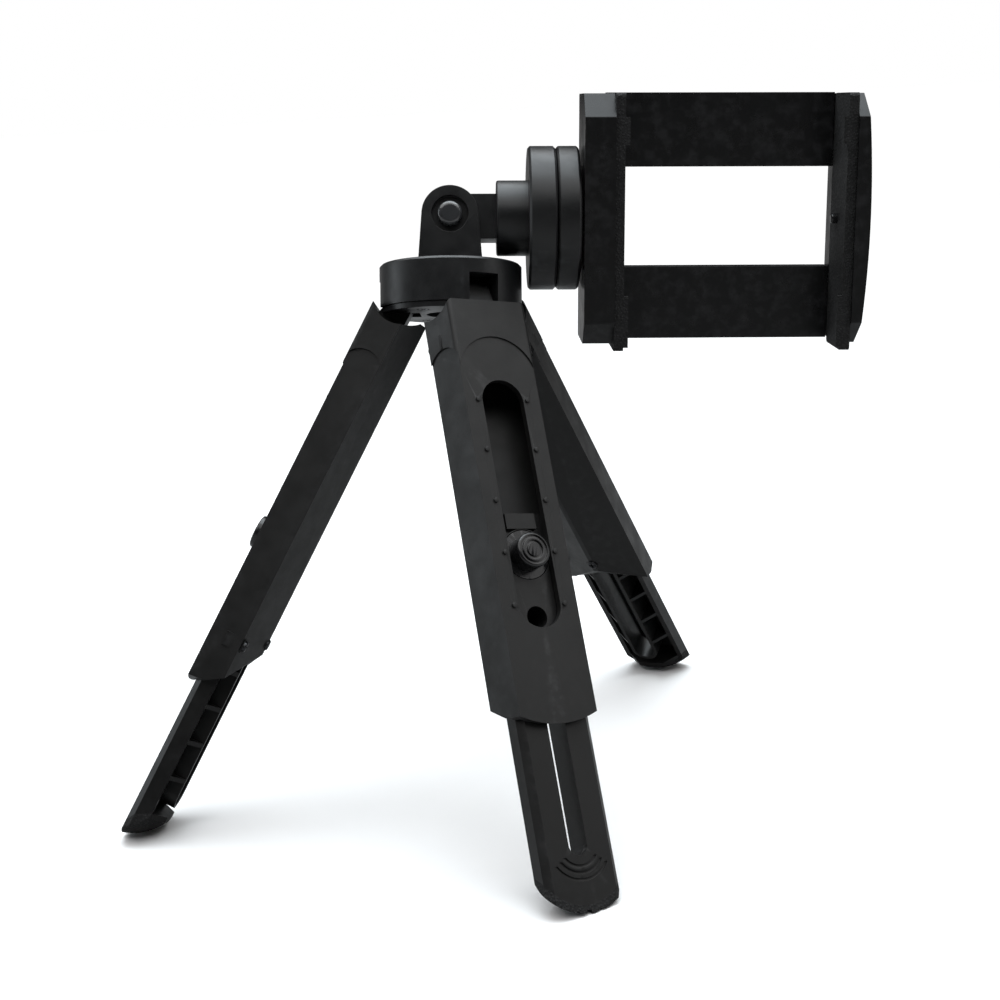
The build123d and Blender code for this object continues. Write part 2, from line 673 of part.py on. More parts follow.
def hub():
    """The round body that carries the three leg hinges and the pan bearing."""
    body = rod_z(HUB_RADIUS, HUB_BOTTOM + PLATE_THICK, HUB_TOP)
    body = chamfer(body.edges().group_by(Axis.Z)[-1], EDGE_BREAK)
    body -= rod_z(HUB_CORE_RADIUS, HUB_BOTTOM, HUB_TOP - HUB_ROOF)
    body -= rod_z(PAN_BOSS_RADIUS + RUN_GAP, HUB_BOTTOM, HUB_TOP + CUT)
    pin_groove = rod_x(PIN_RADIUS, -PIN_HALF, PIN_HALF, y=-HINGE_RADIUS, z=HINGE_Z)
    pin_groove += block(-PIN_HALF, PIN_HALF, -HINGE_RADIUS - PIN_RADIUS, PIN_RADIUS - HINGE_RADIUS,
                        HUB_BOTTOM, HINGE_Z)
    for azimuth in LEG_AZIMUTHS.values():
        body -= Rot(0, 0, azimuth) * (hub_notch() + pin_groove)
    for azimuth in plate_screw_spots():
        body -= Rot(0, 0, azimuth) * rod_z(SCREW_RADIUS, HUB_BOTTOM, PLATE_SCREW_TOP, y=-PLATE_SCREW_RADIUS)
    return in_world() * body


def hub_plate():
    """The underside plate: it holds the hinge pins up in their grooves."""
    body = rod_z(PLATE_RADIUS, HUB_BOTTOM, HUB_BOTTOM + PLATE_THICK)
    body -= rod_z(HUB_CORE_RADIUS, HUB_BOTTOM - CUT, HUB_BOTTOM + PLATE_THICK + CUT)
    saddle_top = HINGE_Z - PIN_RADIUS
    reach = PIN_RADIUS - RUN_GAP
    for azimuth in LEG_AZIMUTHS.values():
        turn = Rot(0, 0, azimuth)
        saddle = block(CUT - PIN_HALF, PIN_HALF - CUT, -HINGE_RADIUS - reach, reach - HINGE_RADIUS,
                       HUB_BOTTOM + PLATE_THICK / 2, saddle_top)
        body = body + turn * saddle - turn * hub_notch()
    for azimuth in plate_screw_spots():
        turn = Rot(0, 0, azimuth)
        body -= turn * rod_z(SCREW_RADIUS + RUN_GAP, HUB_BOTTOM - CUT, HUB_BOTTOM + PLATE_THICK + CUT,
                             y=-PLATE_SCREW_RADIUS)
        body -= turn * rod_z(SCREW_HEAD_RADIUS + 2 * RUN_GAP, HUB_BOTTOM - CUT, HUB_BOTTOM + SCREW_HEAD_THICK,
                             y=-PLATE_SCREW_RADIUS)
    return in_world() * body


def plate_screws():
    """The three screws of the underside plate."""
    screws = []
    for azimuth in plate_screw_spots():
        body = screw(SCREW_HEAD_RADIUS, SCREW_HEAD_THICK, SCREW_RADIUS, PLATE_SCREW_LENGTH)
        spot = Pos(0, -PLATE_SCREW_RADIUS, HUB_BOTTOM + SCREW_HEAD_THICK)
        screws.append(in_hub(azimuth) * spot * Rot(180, 0, 0) * body)
    return Compound(screws)


def hinge_pin():
    """A leg's steel hinge pin, drawn for the hub's -Y side."""
    return rod_x(PIN_RADIUS, -PIN_HALF, PIN_HALF, y=-HINGE_RADIUS, z=HINGE_Z)


def pan_washer():
    """The spring washer that gives the pan bearing its drag."""
    top = HUB_TOP - HUB_ROOF - RUN_GAP
    body = rod_z(HUB_CORE_RADIUS - WASHER_GAP, top - WASHER_THICK, top)
    body -= rod_z(WASHER_HOLE, top - WASHER_THICK - CUT, top + CUT)
    return in_world() * body


def pan_screw():
    """The screw that holds the fork down on the hub."""
    head_top = HUB_TOP - HUB_ROOF - RUN_GAP - WASHER_THICK
    body = screw(PAN_HEAD_RADIUS, PAN_HEAD_THICK, PAN_SCREW_RADIUS, PAN_SCREW_LENGTH)
    return in_world() * Pos(0, 0, head_top) * Rot(180, 0, 0) * body


# ---------------------------------------------------------------- head, drawn about the tilt pivot
def fork():
    """The pan fork: two cheeks on a round base boss."""
    base = -PIVOT_ABOVE_HUB
    reach = hypot(FORK_BASE_HALF, PIVOT_ABOVE_HUB)
    tangent = atan2(PIVOT_ABOVE_HUB, FORK_BASE_HALF)
    swing = sqrt(reach ** 2 - FORK_ROUND ** 2)
    turn = tangent - atan2(FORK_ROUND, swing)
    touch_x = FORK_BASE_HALF + swing * cos(radians(180) - turn - 2 * atan2(FORK_ROUND, swing))
    touch_z = base + swing * sin(turn + 2 * atan2(FORK_ROUND, swing))
    outline = [(FORK_BASE_HALF, base), (touch_x, touch_z), (-touch_x, touch_z), (-FORK_BASE_HALF, base)]
    face = make_face(Polyline(*outline, close=True))
    body = extrude(Plane.XZ * face, FORK_DEPTH_HALF, both=True)
    body += rod_y(FORK_ROUND, -FORK_DEPTH_HALF, FORK_DEPTH_HALF)
    body -= block(-FAR, FAR, -FORK_SLOT_HALF, FORK_SLOT_HALF, base + FORK_SLOT_FLOOR, FAR)
    body += rod_z(PAN_BOSS_RADIUS, base - HUB_ROOF, base + CUT)
    body -= rod_y(BOLT_RADIUS, -FAR, FAR)
    body -= rod_y(RECESS_RADIUS, -FORK_DEPTH_HALF - CUT, RECESS_DEPTH - FORK_DEPTH_HALF)
    body -= hexagon(NUT_ACROSS + FIT_GAP, FORK_DEPTH_HALF - NUT_SINK, FORK_DEPTH_HALF + CUT)
    body -= rod_z(PAN_SCREW_RADIUS, -FAR, base + FORK_SLOT_FLOOR + CUT)
    return in_head() * body


def hexagon(across, y0, y1):
    """A hexagonal bar along Y."""
    bar = extrude(RegularPolygon(across / sqrt(3), 6), y1 - y0)
    return Pos(0, y1, 0) * Rot(90, 0, 0) * bar


def pivot_bolt():
    """The domed bolt that the arm tilts on."""
    seat = -FORK_DEPTH_HALF + RECESS_DEPTH
    head = rod_y(BOLT_HEAD_RADIUS, seat - BOLT_HEAD_THICK, seat)
    head = fillet(head.edges().group_by(Axis.Y)[0], BOLT_HEAD_ROUND)
    return in_head() * (head + rod_y(BOLT_RADIUS, seat, FORK_DEPTH_HALF - BOLT_END_SINK))


def pivot_nut():
    """The nut in the fork's rear cheek."""
    seat = FORK_DEPTH_HALF - NUT_SINK
    body = hexagon(NUT_ACROSS, seat, seat + NUT_THICK)
    return in_head() * (body - rod_y(BOLT_RADIUS, -FAR, FAR))


def tilt_arm():
    """The tilting arm, its neck and the round platform, moulded as one."""
    body = rod_y(ARM_HEIGHT_HALF, -ARM_THICK_HALF, ARM_THICK_HALF)
    body += block(0, NECK_START + CUT, -ARM_THICK_HALF, ARM_THICK_HALF, -ARM_HEIGHT_HALF, ARM_HEIGHT_HALF)
    neck = rod_x(NECK_RADIUS, NECK_START, PLATFORM_START + CUT)
    neck = fillet(neck.edges().group_by(Axis.X)[0], EDGE_BREAK)
    disc = rod_x(DISC_RADIUS, PLATFORM_START, PLATFORM_END)
    disc = chamfer(disc.edges().filter_by(GeomType.CIRCLE), EDGE_BREAK)
    body = body + neck + disc
    body -= rod_y(BOLT_RADIUS + RUN_GAP, -FAR, FAR)
    body -= rod_x(STUD_RADIUS, PLATFORM_START, PLATFORM_END + CUT)
    body -= stud_head()
    return in_head() * body


def stud_head():
    """The hexagonal head of the stud, moulded into the platform."""
    head = extrude(RegularPolygon(STUD_HEAD_ACROSS / sqrt(3), 6), STUD_HEAD_THICK)
    return Pos(PLATFORM_START + STUD_HEAD_SINK, 0, 0) * Rot(0, 90, 0) * head


def stud():
    """The quarter-inch camera stud."""
    shank = rod_x(STUD_RADIUS, PLATFORM_START + CUT, STUD_TIP)
    shank = chamfer(shank.edges().group_by(Axis.X)[-1], EDGE_BREAK)
    return in_head() * (shank + stud_head())


def lock_wheel():
    """The round lock wheel on the stud, with a seat for its rubber ring."""
    start = PLATFORM_END + FIT_GAP
    body = rod_x(DISC_RADIUS, start, WHEEL_END)
    body = chamfer(body.edges().filter_by(GeomType.CIRCLE), EDGE_BREAK)
    body -= rod_x(STUD_RADIUS + RUN_GAP, start - CUT, WHEEL_END + CUT)
    body -= pad_ring(RUN_GAP, WHEEL_END + CUT)
    return in_head() * body


def wheel_pad():
    """The rubber ring that grips the clamp's back."""
    return in_head() * pad_ring(0.0, WHEEL_END + WHEEL_PAD_THICK)


def pad_ring(grow, end):
    """The ring that the wheel's rubber fills, or its seat when grown, up to x = end."""
    seat = WHEEL_END - WHEEL_PAD_SINK
    return rod_x(WHEEL_PAD_OUTER + grow, seat, end) - rod_x(WHEEL_PAD_INNER - grow, seat - CUT, end + CUT)


# ---------------------------------------------------------------- clamp, drawn about the stud axis
def jaw_outline(outer, inner):
    """A jaw's block with its front corners at top and bottom bevelled off."""
    bevel_y = JAW_FRONT_Y + JAW_BEVEL
    bevel_z = JAW_HALF - JAW_BEVEL
    outline = [(JAW_FRONT_Y, -bevel_z), (bevel_y, -JAW_HALF), (JAW_BACK_Y, -JAW_HALF),
               (JAW_BACK_Y, JAW_HALF), (bevel_y, JAW_HALF), (JAW_FRONT_Y, bevel_z)]
    face = make_face(Polyline(*outline, close=True))
    return Pos(outer, 0, 0) * extrude(Plane.YZ * face, inner - outer)


def arm_span(side):
    """The z range of the upper (+1) or lower (-1) clamp arm."""
    return sorted((side * ARM_INNER, side * ARM_OUTER))


def clamp_frame():
    """The fixed jaw and the two hollow arms, moulded as one and open at the back."""
    body = jaw_outline(CLAMP_START, JAW_END)
    body = fillet(body.edges().filter_by(Axis.X), EDGE_BREAK)
    body -= rod_x(INSERT_RADIUS, CLAMP_START - CUT, CLAMP_START + INSERT_LENGTH)
    for side in (-1, 1):
        z0, z1 = arm_span(side)
        middle = (z0 + z1) / 2
        body += block(JAW_END - CUT, ARM_END, ARM_FRONT_Y, JAW_BACK_Y, z0, z1)
        groove_half = RAIL_HALF + FIT_GAP
        body -= block(JAW_END, ARM_END + CUT, ARM_FRONT_Y + ARM_SKIN, JAW_BACK_Y + CUT,
                      middle - groove_half, middle + groove_half)
        body -= block(JAW_END, ARM_END + CUT, JAW_BACK_Y - ARM_SKIN, JAW_BACK_Y + CUT,
                      z0 + ARM_SKIN, z1 - ARM_SKIN)
        body += block(JAW_END - CUT, JAW_END + SPRING_SEAT, ARM_FRONT_Y + CUT, JAW_BACK_Y - ARM_SKIN,
                      middle - SPRING_SEAT, middle + SPRING_SEAT)
        for x in cover_screw_stations():
            body -= rod_y(SCREW_RADIUS, JAW_BACK_Y - COVER_SCREW_DEPTH, JAW_BACK_Y + CUT,
                          x=x, z=middle + side * cover_screw_offset())
    return in_clamp() * body


def cover_screw_stations():
    """The x places of a back cover's two screws."""
    near, far = COVER_SCREW_INSETS
    return (JAW_END + near, ARM_END - far)


def cover_screw_offset():
    """How far a cover screw stands from its arm's middle, out in the solid edge of the arm."""
    return RAIL_HALF + FIT_GAP + COVER_SCREW_EDGE


def arm_cover(side):
    """The back cover of one clamp arm."""
    z0, z1 = arm_span(side)
    middle = (z0 + z1) / 2
    edge = ARM_SKIN + RUN_GAP
    body = block(JAW_END + RUN_GAP, ARM_END, JAW_BACK_Y - ARM_SKIN, JAW_BACK_Y, z0 + edge, z1 - edge)
    for x in cover_screw_stations():
        z = middle + side * cover_screw_offset()
        body -= rod_y(SCREW_RADIUS + RUN_GAP, ARM_FRONT_Y, JAW_BACK_Y + CUT, x=x, z=z)
        body -= rod_y(SCREW_HEAD_RADIUS + RUN_GAP, JAW_BACK_Y - COVER_HEAD_SINK, JAW_BACK_Y + CUT, x=x, z=z)
    return in_clamp() * body


def cover_screws():
    """The four screws of the back covers."""
    screws = []
    for side in (-1, 1):
        middle = sum(arm_span(side)) / 2
        for x in cover_screw_stations():
            body = screw(SCREW_HEAD_RADIUS, SCREW_HEAD_THICK, SCREW_RADIUS, COVER_SCREW_LENGTH)
            spot = Pos(x, JAW_BACK_Y - COVER_HEAD_SINK, middle + side * cover_screw_offset())
            screws.append(in_clamp() * spot * Rot(-90, 0, 0) * body)
    return Compound(screws)


def thread_insert():
    """The brass quarter-inch insert in the fixed jaw."""
    body = rod_x(INSERT_RADIUS, CLAMP_START, CLAMP_START + INSERT_LENGTH)
    return in_clamp() * (body - rod_x(STUD_RADIUS + RUN_GAP, CLAMP_START - CUT, JAW_END))


def jaw_pad(back, front):
    """A rubber jaw pad from its back at one x to its face at another, with low lips at its front edge."""
    toward = 1 if front > back else -1
    x0, x1 = sorted((back, front))
    body = block(x0, x1, JAW_FRONT_Y + PAD_INSET, ARM_FRONT_Y - FIT_GAP, PAD_LOW, PAD_HIGH)
    body = fillet(body.edges().filter_by(Axis.X), PAD_ROUND)
    x0, x1 = sorted((front - toward * LIP_PROUD / 2, front + toward * LIP_PROUD))
    for z0, z1 in LIP_SPANS:
        body += block(x0, x1, JAW_FRONT_Y + PAD_INSET, JAW_FRONT_Y + PAD_INSET + LIP_WIDTH, z0, z1)
    return body


def fixed_jaw_pad():
    """The pad on the fixed jaw."""
    return in_clamp() * jaw_pad(JAW_END, FACE_START)


def moving_jaw_pad():
    """The pad on the moving jaw, with a hole for the stop pin."""
    hole = rod_x(NUB_RADIUS, FACE_END - 2 * LIP_PROUD, MOVING_START + CUT, y=NUB_Y, z=NUB_Z)
    return in_clamp() * (jaw_pad(MOVING_START, FACE_END) - hole)


def moving_jaw():
    """The sliding jaw, with its outer face bowed out."""
    outer = MOVING_START + MOVING_BODY
    body = jaw_outline(MOVING_START, outer + MOVING_BULGE)
    bow_radius = (JAW_HALF ** 2 + MOVING_BULGE ** 2) / (2 * MOVING_BULGE)
    bow = rod_y(bow_radius, -FAR, FAR, x=outer + MOVING_BULGE - bow_radius)
    body = body & bow
    body = fillet(body.edges().filter_by(Axis.X), EDGE_BREAK)
    body += block(FACE_END, MOVING_START + CUT, ARM_FRONT_Y + FIT_GAP, JAW_BACK_Y, -JAW_HALF, JAW_HALF)
    for side in (-1, 1):
        middle = sum(arm_span(side)) / 2
        y0, y1 = rail_depth()
        body -= block(FACE_END - CUT, RAIL_END, y0, y1, middle - RAIL_HALF, middle + RAIL_HALF)
        for z in rail_screw_places(middle):
            body -= rod_y(SCREW_RADIUS, y0 - RAIL_SCREW_BITE, JAW_BACK_Y + CUT, x=RAIL_SCREW_X, z=z)
    body -= rod_x(NUB_RADIUS / 2, MOVING_START - CUT, MOVING_START + NUB_LENGTH, y=NUB_Y, z=NUB_Z)
    return in_clamp() * body


def rail_depth():
    """The y range of the slide rails."""
    front = ARM_FRONT_Y + ARM_SKIN + FIT_GAP
    return front, front + RAIL_THICK


def rail_screw_places(middle):
    """The z places of one rail's two screws."""
    return (middle - RAIL_HALF / 2, middle + RAIL_HALF / 2)


def slide_rail(side):
    """The flat rail that carries the moving jaw in one arm."""
    middle = sum(arm_span(side)) / 2
    y0, y1 = rail_depth()
    body = block(FACE_END - RAIL_LENGTH, RAIL_END, y0, y1, middle - RAIL_HALF, middle + RAIL_HALF)
    for z in rail_screw_places(middle):
        body -= rod_y(SCREW_RADIUS, y0 - CUT, y1 + CUT, x=RAIL_SCREW_X, z=z)
    return in_clamp() * body


def rail_screws():
    """The four screws that hold the rails in the moving jaw."""
    screws = []
    y0 = rail_depth()[0]
    for side in (-1, 1):
        for z in rail_screw_places(sum(arm_span(side)) / 2):
            length = JAW_BACK_Y - y0 + RAIL_SCREW_BITE
            body = screw(SCREW_HEAD_RADIUS, SCREW_HEAD_THICK, SCREW_RADIUS, length)
            screws.append(in_clamp() * Pos(RAIL_SCREW_X, JAW_BACK_Y, z) * Rot(-90, 0, 0) * body)
    return Compound(screws)


def clamp_spring(side):
    """The spring that pulls one rail home."""
    middle = sum(arm_span(side)) / 2
    start = JAW_END + SPRING_SEAT
    end = FACE_END - RAIL_LENGTH
    y = (ARM_FRONT_Y + ARM_SKIN + JAW_BACK_Y - ARM_SKIN) / 2
    body = coil(CLAMP_SPRING_RADIUS, CLAMP_SPRING_WIRE, end - start, CLAMP_SPRING_TURNS)
    return in_clamp() * Pos(start, y, middle) * Rot(0, 90, 0) * body


def jaw_nub():
    """The small stop pin in the moving jaw's pad."""
    body = rod_x(NUB_RADIUS, FACE_END - NUB_PROUD, MOVING_START, y=NUB_Y, z=NUB_Z)
    body = fillet(body.edges().group_by(Axis.X)[0], NUB_EDGE)
    body += rod_x(NUB_RADIUS / 2, MOVING_START, MOVING_START + NUB_LENGTH, y=NUB_Y, z=NUB_Z)
    return in_clamp() * body


# ---------------------------------------------------------------- the whole object
LEG_PARTS = {
    "leg_shell": leg_shell,
    "leg_cover": leg_cover,
    "leg_screws": leg_screws,
    "leg_extension": leg_extension,
    "foot_pad": foot_pad,
    "leg_button": button,
    "button_spring": button_spring,
}
HEAD_PARTS = {
    "hub": hub,
    "hub_plate": hub_plate,
    "plate_screws": plate_screws,
    "pan_washer": pan_washer,
    "pan_screw": pan_screw,
    "head_fork": fork,
    "pivot_bolt": pivot_bolt,
    "pivot_nut": pivot_nut,
    "tilt_arm": tilt_arm,
    "camera_stud": stud,
    "lock_wheel": lock_wheel,
    "wheel_pad": wheel_pad,
    "clamp_frame": clamp_frame,
    "thread_insert": thread_insert,
    "cover_screws": cover_screws,
    "fixed_jaw_pad": fixed_jaw_pad,
    "moving_jaw": moving_jaw,
    "moving_jaw_pad": moving_jaw_pad,
    "rail_screws": rail_screws,
    "jaw_nub": jaw_nub,
}
SIDES = {"upper": 1, "lower": -1}


def build():
    """Every node of the tripod, by name."""
    nodes = {}
    for part_name, make in LEG_PARTS.items():
        shape = make()
        for leg_name in LEG_AZIMUTHS:
            nodes[f"{leg_name}_{part_name}"] = in_leg(leg_name) * shape
    for leg_name, azimuth in LEG_AZIMUTHS.items():
        nodes[f"{leg_name}_hinge_pin"] = in_hub(azimuth) * hinge_pin()
    for part_name, make in HEAD_PARTS.items():
        nodes[part_name] = make()
    for side_name, side in SIDES.items():
        nodes[f"{side_name}_arm_cover"] = arm_cover(side)
        nodes[f"{side_name}_slide_rail"] = slide_rail(side)
        nodes[f"{side_name}_clamp_spring"] = clamp_spring(side)
    return nodes


os.makedirs("parts", exist_ok=True)
for node_name, node_shape in build().items():
    export_step(node_shape, f"parts/{node_name}.step")
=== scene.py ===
"""The looks of a mini tabletop tripod with a phone clamp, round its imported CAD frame.

Lengths are in metres and the floor is z = 0. The frame's joints give the axes of the leaned hub, and the
camera and lights stand by them. The CAD nodes keep their meshes: they get finer edges from modifiers, and
node materials.
"""
import json
import math

import bpy
from mathutils import Matrix, Vector

# Camera, in the hub's own frame: origin mid-underside, X along the stud, Z up the hub's axis
HUB_HEIGHT = 0.013
EYE = (0.0043, -0.453, -0.0571)
YAW = 1.5
PITCH = 0.8
ROLL = -0.5
SENSOR = 36.0
LENS = 61.0
SHIFT = (-0.013, 0.004)

# Edges of the CAD nodes
WELD = 1e-6
EDGE_WIDTH = 0.00018
EDGE_ANGLE = 35.0
EDGE_SEGMENTS = 2
SMOOTH_ANGLE = 32.0
FACE_WEIGHT = 100

# Light and floor
WORLD_SEEN = 1.0
WORLD_LIGHT = 0.025
FLOOR_HALF = 60.0
FLOOR_SEEN = 0.93
FLOOR_VARIES = 0.01
FLOOR_GRAIN = 30.0
FLOOR_BOUNCE = 0.32
SUN_STRENGTH = 3.4
SUN_ANGLE = 100.0
# Each softbox: place, size, power and colour; all face the top of the hub
SOFTBOXES = {
    "top_softbox": ((0.05, 0.15, 0.9), (0.9, 0.7), 6.0, (0.82, 0.93, 1.0)),
    "right_softbox": ((0.9, -0.2, 0.5), (0.5, 0.7), 1.2, (1.0, 1.0, 1.0)),
    "left_softbox": ((-0.9, 0.15, 0.25), (0.4, 0.7), 1.6, (0.9, 0.96, 1.0)),
}

# Pointiness between which the wear of an outer edge grows from none to full
WEAR_START = 0.52
WEAR_END = 0.60

# Plastic: scales of its textures, how deep its sink marks and grain are, and how its roughness varies
CLOUD_SCALE = 28.0
SCUFF_SCALE = 420.0
PATCH_SCALE = 160.0
SINK_SCALE = 90.0
SINK_STRENGTH = 0.25
SINK_DEPTH = 0.00008
GRAIN_STRENGTH = 0.35
ROUGH_BELOW = 0.05
ROUGH_ABOVE = 0.07

# Rubber: scales of its dust and its fine grain, and how deep they are
DUST_SCALE = 500.0
FINE_SCALE = 6000.0
FINE_STRENGTH = 0.3
FINE_DEPTH = 0.00002
KNOB_STRENGTH = 0.6

# Metal: how far its streaks are drawn out, and how deep they are
STREAK_DRAW = 0.08
STREAK_STRENGTH = 0.3
STREAK_DEPTH = 0.00002

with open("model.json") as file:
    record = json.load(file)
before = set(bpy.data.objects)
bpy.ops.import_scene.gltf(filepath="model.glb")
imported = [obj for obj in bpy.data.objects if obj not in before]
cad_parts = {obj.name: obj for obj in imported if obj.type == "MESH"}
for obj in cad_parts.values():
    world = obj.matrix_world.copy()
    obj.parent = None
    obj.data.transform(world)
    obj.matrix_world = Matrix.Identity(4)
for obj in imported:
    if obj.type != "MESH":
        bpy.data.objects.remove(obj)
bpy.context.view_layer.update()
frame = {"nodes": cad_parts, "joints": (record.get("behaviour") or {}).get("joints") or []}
joints = {joint["name"]: joint for joint in frame["joints"]}


# ------------------------------------------------------------------ frames
def axes_frame(origin, x_axis, z_axis):
    """A frame from its origin, its X axis and its Z axis."""
    x_axis, z_axis = Vector(x_axis).normalized(), Vector(z_axis).normalized()
    y_axis = z_axis.cross(x_axis)
    rotation = Matrix((x_axis, y_axis, z_axis)).transposed().to_4x4()
    return Matrix.Translation(Vector(origin)) @ rotation


def hub_frame():
    """The leaned hub's frame: origin in the middle of its underside, X along the camera stud."""
    pan = joints["pan_turn"]
    up = Vector(pan["axis"]).normalized()
    return axes_frame(Vector(pan["pos_m"]) - up * HUB_HEIGHT, joints["clamp_turn"]["axis"], up)


# ------------------------------------------------------------------ materials
def node_material(name):
    """A new material with its shader, and the object coordinates that its textures use."""
    material = bpy.data.materials.new(name)
    material.use_nodes = True
    nodes = material.node_tree.nodes
    shader = nodes["Principled BSDF"]
    place = nodes.new("ShaderNodeTexCoord").outputs["Object"]
    return material, shader, place


def noise(material, place, scale, detail=2.0, roughness=0.5):
    """A noise texture's value."""
    node = material.node_tree.nodes.new("ShaderNodeTexNoise")
    node.inputs["Scale"].default_value = scale
    node.inputs["Detail"].default_value = detail
    node.inputs["Roughness"].default_value = roughness
    material.node_tree.links.new(place, node.inputs["Vector"])
    return node.outputs["Fac"]


def spread(material, value, low, high, start=0.35, end=0.65):
    """A value from a texture, spread from low to high."""
    node = material.node_tree.nodes.new("ShaderNodeMapRange")
    node.inputs["From Min"].default_value = start
    node.inputs["From Max"].default_value = end
    node.inputs["To Min"].default_value = low
    node.inputs["To Max"].default_value = high
    material.node_tree.links.new(value, node.inputs["Value"])
    return node.outputs["Result"]


def mixed(material, factor, first, second):
    """A colour between two: each is a plain colour or another node's output."""
    node = material.node_tree.nodes.new("ShaderNodeMix")
    node.data_type = "RGBA"
    material.node_tree.links.new(factor, node.inputs["Factor"])
    for socket, colour in ((node.inputs[6], first), (node.inputs[7], second)):
        if isinstance(colour, tuple):
            socket.default_value = (*colour, 1.0)
        else:
            material.node_tree.links.new(colour, socket)
    return node.outputs[2]


def bump(material, shader, height, strength, distance, under=None):
    """Bump from a texture's value, over an earlier bump if one is given."""
    node = material.node_tree.nodes.new("ShaderNodeBump")
    node.inputs["Strength"].default_value = strength
    node.inputs["Distance"].default_value = distance
    material.node_tree.links.new(height, node.inputs["Height"])
    if under:
        material.node_tree.links.new(under, node.inputs["Normal"])
    material.node_tree.links.new(node.outputs["Normal"], shader.inputs["Normal"])
    return node.outputs["Normal"]


def edge_wear(material):
    """A factor that is high on outer edges, where handling has polished them."""
    geometry = material.node_tree.nodes.new("ShaderNodeNewGeometry")
    return spread(material, geometry.outputs["Pointiness"], 0.0, 1.0, start=WEAR_START, end=WEAR_END)


def plastic(name, dark, light, worn, rough, grain, grain_depth, specular=0.5):
    """Moulded plastic: cloudy colour, fine spark-eroded grain, faint sink marks and polished edges."""
    material, shader, place = node_material(name)
    link = material.node_tree.links.new
    cloud = spread(material, noise(material, place, CLOUD_SCALE, detail=3.0), 0.0, 1.0)
    body = mixed(material, cloud, dark, light)
    wear = edge_wear(material)
    scuffs = spread(material, noise(material, place, SCUFF_SCALE, detail=4.0), 0.15, 1.0, start=0.45, end=0.7)
    times = material.node_tree.nodes.new("ShaderNodeMath")
    times.operation = "MULTIPLY"
    link(wear, times.inputs[0])
    link(scuffs, times.inputs[1])
    link(mixed(material, times.outputs[0], body, worn), shader.inputs["Base Color"])
    patches = noise(material, place, PATCH_SCALE, detail=5.0, roughness=0.6)
    link(spread(material, patches, rough - ROUGH_BELOW, rough + ROUGH_ABOVE), shader.inputs["Roughness"])
    shader.inputs["Specular IOR Level"].default_value = specular
    marks = noise(material, place, SINK_SCALE, detail=1.0)
    sink = bump(material, shader, marks, SINK_STRENGTH, SINK_DEPTH)
    specks = noise(material, place, grain, detail=2.0)
    bump(material, shader, specks, GRAIN_STRENGTH, grain_depth, under=sink)
    return material


def rubber(name, dark, light, rough, stipple, depth):
    """Rubber with a stippled face."""
    material, shader, place = node_material(name)
    nodes, link = material.node_tree.nodes, material.node_tree.links.new
    cells = nodes.new("ShaderNodeTexVoronoi")
    cells.inputs["Scale"].default_value = stipple
    link(place, cells.inputs["Vector"])
    knobs = spread(material, cells.outputs["Distance"], 1.0, 0.0, start=0.1, end=0.6)
    dust = spread(material, noise(material, place, DUST_SCALE, detail=5.0), 0.0, 1.0, start=0.4, end=0.75)
    link(mixed(material, dust, dark, light), shader.inputs["Base Color"])
    link(spread(material, knobs, rough + 0.1, rough - 0.08, start=0.0, end=1.0), shader.inputs["Roughness"])
    shader.inputs["Specular IOR Level"].default_value = 0.4
    soft = bump(material, shader, knobs, KNOB_STRENGTH, depth)
    bump(material, shader, noise(material, place, FINE_SCALE), FINE_STRENGTH, FINE_DEPTH, under=soft)
    return material


def metal(name, dark, light, rough, brush):
    """Turned or rolled metal, with fine streaks."""
    material, shader, place = node_material(name)
    nodes, link = material.node_tree.nodes, material.node_tree.links.new
    stretch = nodes.new("ShaderNodeMapping")
    stretch.inputs["Scale"].default_value = (1.0, 1.0, STREAK_DRAW)
    link(place, stretch.inputs["Vector"])
    streaks = noise(material, stretch.outputs["Vector"], brush, detail=3.0)
    link(mixed(material, spread(material, streaks, 0.0, 1.0), dark, light), shader.inputs["Base Color"])
    link(spread(material, streaks, rough - 0.06, rough + 0.1), shader.inputs["Roughness"])
    shader.inputs["Metallic"].default_value = 1.0
    bump(material, shader, streaks, STREAK_STRENGTH, STREAK_DEPTH)
    return material


# ------------------------------------------------------------------ finer edges on the CAD nodes
def smooth_by_angle():
    """A geometry node group that shades smooth, except across edges sharper than an angle."""
    group = bpy.data.node_groups.new("smooth_by_angle", "GeometryNodeTree")
    group.interface.new_socket("Geometry", in_out="INPUT", socket_type="NodeSocketGeometry")
    group.interface.new_socket("Geometry", in_out="OUTPUT", socket_type="NodeSocketGeometry")
    nodes, link = group.nodes, group.links.new
    start, end = nodes.new("NodeGroupInput"), nodes.new("NodeGroupOutput")
    faces, edges = nodes.new("GeometryNodeSetShadeSmooth"), nodes.new("GeometryNodeSetShadeSmooth")
    faces.domain = "FACE"
    edges.domain = "EDGE"
    angle = nodes.new("GeometryNodeInputMeshEdgeAngle")
    below = nodes.new("FunctionNodeCompare")
    below.data_type = "FLOAT"
    below.operation = "LESS_THAN"
    below.inputs["B"].default_value = math.radians(SMOOTH_ANGLE)
    link(start.outputs[0], faces.inputs["Geometry"])
    link(faces.outputs["Geometry"], edges.inputs["Geometry"])
    link(angle.outputs["Unsigned Angle"], below.inputs["A"])
    link(below.outputs["Result"], edges.inputs["Shade Smooth"])
    link(edges.outputs["Geometry"], end.inputs[0])
    return group


